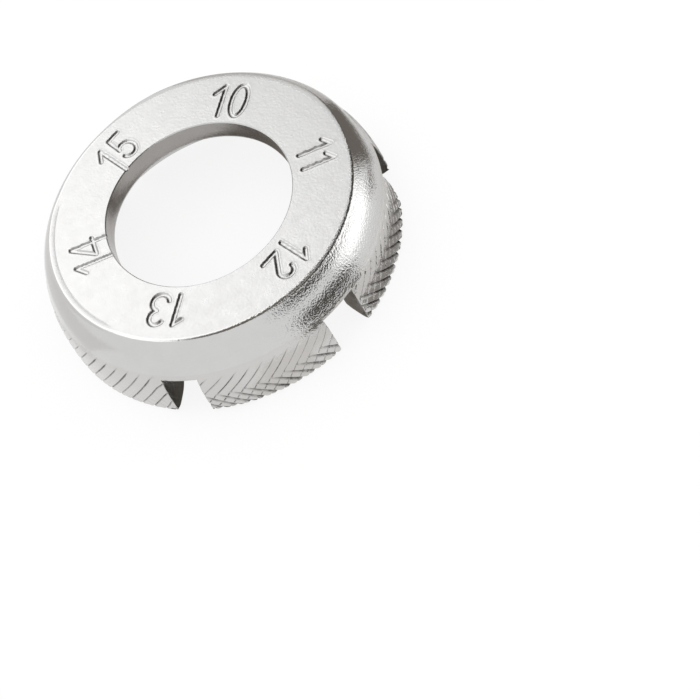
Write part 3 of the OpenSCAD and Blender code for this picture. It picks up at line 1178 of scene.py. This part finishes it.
def plated(name, colour, roughness, grain, grain_scale, relief, relief_scale, stain=0.06, spread=0.08,
           soiling_and_shade_level=0.75, grain_detail=1.0, smooth_left=False):
    """Plated steel: a metal whose tone and gloss vary softly, over a fine and a broad relief."""
    material = bpy.data.materials.new(name)
    material.use_nodes = True
    nodes, links = material.node_tree.nodes, material.node_tree.links
    shader = nodes["Principled BSDF"]
    shader.inputs["Metallic"].default_value = 1.0
    coords = nodes.new("ShaderNodeTexCoord")

    def noise(scale, detail, rough=0.5):
        """Soft noise on the object's own coordinates."""
        node = nodes.new("ShaderNodeTexNoise")
        node.inputs["Scale"].default_value = scale
        node.inputs["Detail"].default_value = detail
        node.inputs["Roughness"].default_value = rough
        links.new(coords.outputs["Object"], node.inputs["Vector"])
        return node.outputs[0]

    def ranged(value, low, high, span=(0.0, 1.0)):
        """The value, spread from its span to between low and high."""
        node = nodes.new("ShaderNodeMapRange")
        ends = (("From Min", span[0]), ("From Max", span[1]), ("To Min", low), ("To Max", high))
        for socket, number in ends:
            node.inputs[socket].default_value = number
        links.new(value, node.inputs["Value"])
        return node.outputs[0]

    def bumped(height, strength):
        """A relief of the given height and strength."""
        node = nodes.new("ShaderNodeBump")
        node.inputs["Strength"].default_value = strength
        node.inputs["Distance"].default_value = RELIEF_HEIGHT
        links.new(height, node.inputs["Height"])
        return node

    tone = ranged(noise(TONE_SCALE, 4.0, 0.6), 1.0 - stain, 1.0 + stain * BRIGHTER_SHARE)
    shade = nodes.new("ShaderNodeMix")
    shade.data_type = "RGBA"
    shade.blend_type = "MULTIPLY"
    shade.inputs[0].default_value = 1.0
    shade.inputs[6].default_value = (*colour, 1.0)
    links.new(tone, shade.inputs[7])
    # Grime and painted shade: each point's share darkens the colour towards near black in patches, partly
    # as dirt in the grooves and strokes and partly as the shade that falls in them
    soiling_and_shade = nodes.new("ShaderNodeAttribute")
    soiling_and_shade.attribute_name = "soiling_and_shade"
    amount = nodes.new("ShaderNodeMath")
    amount.operation = "MULTIPLY"
    patches = ranged(noise(SOILING_AND_SHADE_SCALE, 2.0), soiling_and_shade_level * SOILING_AND_SHADE_FLOOR_SHARE, soiling_and_shade_level, SOILING_AND_SHADE_SPAN)
    links.new(soiling_and_shade.outputs["Fac"], amount.inputs[0])
    links.new(patches, amount.inputs[1])
    soiled_and_shaded = nodes.new("ShaderNodeMix")
    soiled_and_shaded.data_type = "RGBA"
    soiled_and_shaded.inputs[7].default_value = (*SOILING_AND_SHADE_COLOUR, 1.0)
    links.new(amount.outputs[0], soiled_and_shaded.inputs[0])
    links.new(shade.outputs[2], soiled_and_shaded.inputs[6])
    links.new(soiled_and_shaded.outputs[2], shader.inputs["Base Color"])
    glossiest = max(roughness - spread, LEAST_ROUGHNESS)
    gloss = ranged(noise(GLOSS_SCALE, 3.0, 0.6), glossiest, roughness + spread)
    links.new(gloss, shader.inputs["Roughness"])
    fine = bumped(noise(grain_scale, grain_detail), grain)
    if smooth_left:
        toward = nodes.new("ShaderNodeVectorMath")
        toward.operation = "DOT_PRODUCT"
        toward.inputs[1].default_value = GRAIN_SIDE
        links.new(coords.outputs["Object"], toward.inputs[0])
        span = (0.0, GRAIN_REACH)
        rising = ranged(toward.outputs["Value"], grain * GRAIN_LEFT_SHARE, grain, span)
        links.new(rising, fine.inputs["Strength"])
    broad = bumped(noise(relief_scale, 4.0, 0.55), relief)
    links.new(fine.outputs[0], broad.inputs["Normal"])
    links.new(broad.outputs[0], shader.inputs["Normal"])
    return material


# Tint of the knurl and the slots, where the plate is worn
WORN_TINT = (0.985, 0.97, 0.955)


def wrench_finishes(look):
    """The finish of each zone of the ring."""
    steel, bored = tuple(look.steel), tuple(look.bored_steel)
    worn = tuple(c * k for c, k in zip(steel, WORN_TINT))
    return {
        FACE: plated("satin_face", steel, 0.3, 0.14, 3400.0, 0.12, 700.0, soiling_and_shade_level=1.0),
        SHOULDER: plated("plated_shoulder", steel, 0.14, 0.34, 4900.0, 0.06, 500.0, spread=0.03,
                         grain_detail=1.5, smooth_left=True),
        BAND: plated("knurled_band", worn, 0.2, 0.3, 3400.0, 0.12, 900.0, soiling_and_shade_level=0.85),
        LAND: plated("polished_land", steel, 0.12, 0.02, 3000.0, 0.05, 300.0, stain=0.03, spread=0.04),
        CUP: plated("blasted_cup", steel, 0.4, 0.5, 4200.0, 0.3, 1600.0, stain=0.12, grain_detail=3.0),
        SLOT: plated("sawn_slot", worn, 0.32, 0.4, 3400.0, 0.3, 1500.0, stain=0.15),
        BORE: plated("bored_wall", bored, 0.22, 0.06, 3400.0, 0.08, 700.0),
    }


# Faces that meet more steeply than this keep a sharp edge, and so does a face of many corners
SHARP_ANGLE = math.radians(24)
MANY_CORNERS = 12


def mark_sharp_edges(mesh, angle):
    """Smooth faces, with edges kept sharp where faces meet steeply or a slot's flats begin."""
    work = bmesh.new()
    work.from_mesh(mesh)
    for face in work.faces:
        face.smooth = True
    for edge in work.edges:
        if len(edge.link_faces) != 2:
            edge.smooth = False
            continue
        big = any(len(f.verts) > MANY_CORNERS for f in edge.link_faces)
        edge.smooth = edge.calc_face_angle(0.0) < angle and not big
    work.to_mesh(mesh)
    work.free()


class WRENCH_OT_ring(bpy.types.Operator):
    """Builds the forged ring with its slots, numbers and knurl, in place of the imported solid"""

    bl_idname = "wrench.ring"
    bl_label = "Build the ring"

    def execute(self, context):
        sizes, knurl = context.scene.wrench_sizes, context.scene.wrench_knurl
        look = context.scene.wrench_look
        shell = Ring(sizes, knurl).build()
        blank = bpy.data.objects.new("ring_blank", shell_mesh(shell, "ring_blank"))
        context.scene.collection.objects.link(blank)
        modifier = blank.modifiers.new("Knurl", "NODES")
        inputs = knurl_inputs(sizes, knurl)
        modifier.node_group = knurl_tree(wrench_finishes(look), inputs)
        for item in modifier.node_group.interface.items_tree:
            if item.in_out == "INPUT" and item.name in inputs:
                modifier[item.identifier] = inputs[item.name]
        depsgraph = context.evaluated_depsgraph_get()
        mesh = bpy.data.meshes.new_from_object(blank.evaluated_get(depsgraph))
        mesh.name = "forged_ring"
        bpy.data.objects.remove(blank)
        mark_sharp_edges(mesh, SHARP_ANGLE)
        ring = bpy.data.objects.new("forged_ring", mesh)
        context.scene.collection.objects.link(ring)
        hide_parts(NODE)
        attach(ring, "root")
        return {"FINISHED"}


# The studio, in metres and degrees: each panel's width and height, its azimuth, elevation and
# distance from the ring, for the side panel also the height these are measured from, the camera's
# near and far end, and half the floor's side
KEY_PANEL = (0.34, 0.30)
KEY_PLACE = (166, 50, 0.36)
SIDE_PANEL = (0.066, 0.052)
SIDE_PLACE = (21, 7, 0.09, 0.012)
CAMERA_REACH = (0.005, 20.0)
FLOOR_HALF = 1.5

# The sheets, mats and cards that the ring mirrors: each one's name and tone, its arc in degrees,
# its inner and its outer edge as (radius, height) in metres, its steps and, where it isn't the
# bore's axis, its centre. The grey sheet beside the ring, the first mid sheet behind it and the mats
# under the ring and in its bore are painted shadow: they darken the floor in the ring's reflections
# where its own shadow lies.
CARDS = (
    ("sheet_low", "pale", (-64, -42), (0.0213, 0.0003), (0.0245, 0.0003), 12),
    # Painted shadow: the ring's shadow on the floor beside it, seen only in reflections
    ("sheet_near", "grey", (-18, 66), (0.0213, 0.0003), (0.0245, 0.0003), 40),
    ("sheet_far", "pale", (-60, 130), (0.0245, 0.0003), (0.033, 0.0003), 40),
    # Painted shadow: the ring's shadow on the floor behind it, seen only in reflections
    ("sheet_back", "mid", (70, 128), (0.031, 0.0004), (0.075, 0.012), 12),
    ("sheet_behind", "mid", (70, 124), (0.075, 0.012), (0.12, 0.07), 12),
    ("sheet_left", "pale", (130, 228), (0.028, 0.0003), (0.14, 0.004), 24),
    ("mat_right", "dark", (-37, -4), (0.038, 0.0005), (0.12, 0.011), 12),
    # Painted shadow: the ring's contact shadow on the floor under it and in its bore, seen only in
    # reflections
    ("mat_slot_13", "dark", (-92, -64), (0.0165, 0.0002), (0.0212, 0.0002), 12),
    ("mat_slot_12", "brown", (-62, -12), (0.015, 0.0002), (0.0182, 0.0002), 12),
    ("mat_wall_12", "brown", (-25, -10), (0.0165, 0.00025), (0.0207, 0.00025), 12),
    ("mat_bore", "brown", (78, 174), (0.0076, 0.0003), (0.0112, 0.0003), 24, (0.004, 0.0035)),
    ("mat_slot_11", "dark", (4, 50), (0.0165, 0.0002), (0.0212, 0.0002), 12),
    ("card_high", "dark", (-38, 82), (0.12, 0.054), (0.12, 0.24), 24),
    ("card_back", "brown", (41, 72), (0.031, 0.0006), (0.07, 0.042), 12),
    ("card_wedge", "brown", (33, 43), (0.038, 0.0006), (0.058, 0.0022), 6),
    ("card_right", "brown", (72, 84), (0.045, 0.006), (0.07, 0.042), 3),
    ("card_top", "brown", (0, 360), (0.0, 0.24), (0.095, 0.24), 48),
)


def around(azimuth, elevation, distance, height=0.008):
    """The point in a direction from the ring, angles in degrees."""
    a, e = math.radians(azimuth), math.radians(elevation)
    return Vector((distance * math.cos(e) * math.cos(a), distance * math.cos(e) * math.sin(a),
                   height + distance * math.sin(e)))


def panel_light(name, level, size, place):
    """A soft panel that faces the ring, whose reflection has the given brightness."""
    data = bpy.data.lights.new(name, "AREA")
    data.shape = "RECTANGLE"
    data.size, data.size_y = size
    data.energy = level * math.pi * size[0] * size[1]
    lamp = bpy.data.objects.new(name, data)
    bpy.context.scene.collection.objects.link(lamp)
    lamp.location = place
    lamp.rotation_euler = (-Vector(place)).to_track_quat("-Z", "Y").to_euler()


def card_finish(name, colour):
    """A card of an even brightness, whatever light falls on it."""
    material = bpy.data.materials.new(name)
    material.use_nodes = True
    nodes, links = material.node_tree.nodes, material.node_tree.links
    nodes.remove(nodes["Principled BSDF"])
    glow = nodes.new("ShaderNodeEmission")
    glow.inputs["Color"].default_value = (*colour, 1.0)
    links.new(glow.outputs[0], nodes["Material Output"].inputs["Surface"])
    return material


def card(name, material, angles, inner, outer, steps, centre=(0.0, 0.0)):
    """A curved card between two (radius, height) ends, which only the ring's reflections see."""
    points, faces = [], []
    for k in range(steps + 1):
        a = math.radians(angles[0] + (angles[1] - angles[0]) * k / steps)
        for r, z in (inner, outer):
            points.append((centre[0] + r * math.cos(a), centre[1] + r * math.sin(a), z))
    for k in range(steps):
        faces.append((2 * k, 2 * k + 1, 2 * k + 3, 2 * k + 2))
    mesh = bpy.data.meshes.new(name)
    mesh.from_pydata(points, [], faces)
    mesh.materials.append(material)
    made = bpy.data.objects.new(name, mesh)
    bpy.context.scene.collection.objects.link(made)
    made.visible_camera = False
    made.visible_diffuse = False
    made.visible_shadow = False


class WRENCH_OT_studio(bpy.types.Operator):
    """Sets up the camera, the pale floor, the white surroundings, two panels and the cards"""

    bl_idname = "wrench.studio"
    bl_label = "Build the studio"

    def execute(self, context):
        look = context.scene.wrench_look
        scene = context.scene
        data = bpy.data.cameras.new("camera")
        data.lens = look.lens
        data.clip_start, data.clip_end = CAMERA_REACH
        camera = bpy.data.objects.new("camera", data)
        camera.location = look.camera_place
        camera.rotation_euler = Euler(look.camera_turn, "XYZ")
        scene.collection.objects.link(camera)
        scene.camera = camera
        self.floor(scene, look)
        self.world(scene, look)
        panel_light("key_panel", look.key_level, KEY_PANEL, around(*KEY_PLACE))
        panel_light("side_panel", look.side_level, SIDE_PANEL, around(*SIDE_PLACE))
        finishes = {}
        for tone in ("dark", "brown", "grey", "mid", "pale"):
            finishes[tone] = card_finish(tone + "_card", getattr(look, tone + "_card"))
        for name, tone, *shape in CARDS:
            card(name, finishes[tone], *shape)
        scene.view_settings.view_transform = "Standard"
        return {"FINISHED"}

    def floor(self, scene, look):
        """The pale floor, part lit and part plain white."""
        half = FLOOR_HALF
        mesh = bpy.data.meshes.new("floor")
        mesh.from_pydata([(-half, -half, 0), (half, -half, 0), (half, half, 0), (-half, half, 0)],
                         [], [(0, 1, 2, 3)])
        floor = bpy.data.objects.new("floor", mesh)
        scene.collection.objects.link(floor)
        material = bpy.data.materials.new("pale_floor")
        material.use_nodes = True
        nodes, links = material.node_tree.nodes, material.node_tree.links
        shader = nodes["Principled BSDF"]
        shader.inputs["Base Color"].default_value = (*look.floor, 1.0)
        shader.inputs["Roughness"].default_value = 0.9
        shader.inputs["Specular IOR Level"].default_value = 0.1
        white = nodes.new("ShaderNodeEmission")
        white.inputs["Strength"].default_value = 1.0
        seen = self.seen(nodes, links, look.floor_glow)
        mix = nodes.new("ShaderNodeMixShader")
        links.new(seen, mix.inputs[0])
        links.new(shader.outputs[0], mix.inputs[1])
        links.new(white.outputs[0], mix.inputs[2])
        links.new(mix.outputs[0], nodes["Material Output"].inputs["Surface"])
        mesh.materials.append(material)

    def seen(self, nodes, links, share):
        """The share, for rays from the camera and through mirrors and glass, and zero for others."""
        path = nodes.new("ShaderNodeLightPath")
        rays = [path.outputs[n] for n in ("Is Camera Ray", "Is Glossy Ray", "Is Transmission Ray")]
        total = rays[0]
        for ray in rays[1:]:
            either = nodes.new("ShaderNodeMath")
            either.operation = "MAXIMUM"
            links.new(total, either.inputs[0])
            links.new(ray, either.inputs[1])
            total = either.outputs[0]
        part = nodes.new("ShaderNodeMath")
        part.operation = "MULTIPLY"
        part.inputs[1].default_value = share
        links.new(total, part.inputs[0])
        return part.outputs[0]

    def world(self, scene, look):
        """The white surroundings."""
        world = bpy.data.worlds.new("studio")
        world.use_nodes = True
        background = world.node_tree.nodes["Background"]
        background.inputs["Color"].default_value = (1, 1, 1, 1)
        background.inputs["Strength"].default_value = look.world_level
        scene.world = world


class WRENCH_PT_panel(bpy.types.Panel):
    """Sizes, colours and buttons of the spoke wrench"""

    bl_label = "Ring spoke wrench"
    bl_idname = "WRENCH_PT_panel"
    bl_space_type = "VIEW_3D"
    bl_region_type = "UI"
    bl_category = "Spoke wrench"

    def draw(self, context):
        """A box of fields for each group, and the two buttons."""
        layout = self.layout
        for title, group in (("Ring", context.scene.wrench_sizes),
                             ("Knurl", context.scene.wrench_knurl),
                             ("Studio", context.scene.wrench_look)):
            box = layout.box()
            box.label(text=title)
            for name in group.__annotations__:
                box.prop(group, name)
        layout.operator(WRENCH_OT_ring.bl_idname)
        layout.operator(WRENCH_OT_studio.bl_idname)


CLASSES = (WrenchSizes, KnurlSizes, StudioLook, WRENCH_OT_ring, WRENCH_OT_studio, WRENCH_PT_panel)


def register():
    """Registers the classes and gives the scene its three groups."""
    for cls in CLASSES:
        bpy.utils.register_class(cls)
    bpy.types.Scene.wrench_sizes = PointerProperty(type=WrenchSizes)
    bpy.types.Scene.wrench_knurl = PointerProperty(type=KnurlSizes)
    bpy.types.Scene.wrench_look = PointerProperty(type=StudioLook)


def unregister():
    """Undoes what register did."""
    del bpy.types.Scene.wrench_look
    del bpy.types.Scene.wrench_knurl
    del bpy.types.Scene.wrench_sizes
    for cls in reversed(CLASSES):
        bpy.utils.unregister_class(cls)


def main():
    """Builds the ring and the studio."""
    register()
    bpy.ops.wrench.ring()
    bpy.ops.wrench.studio()


if __name__ == "__main__":
    main()
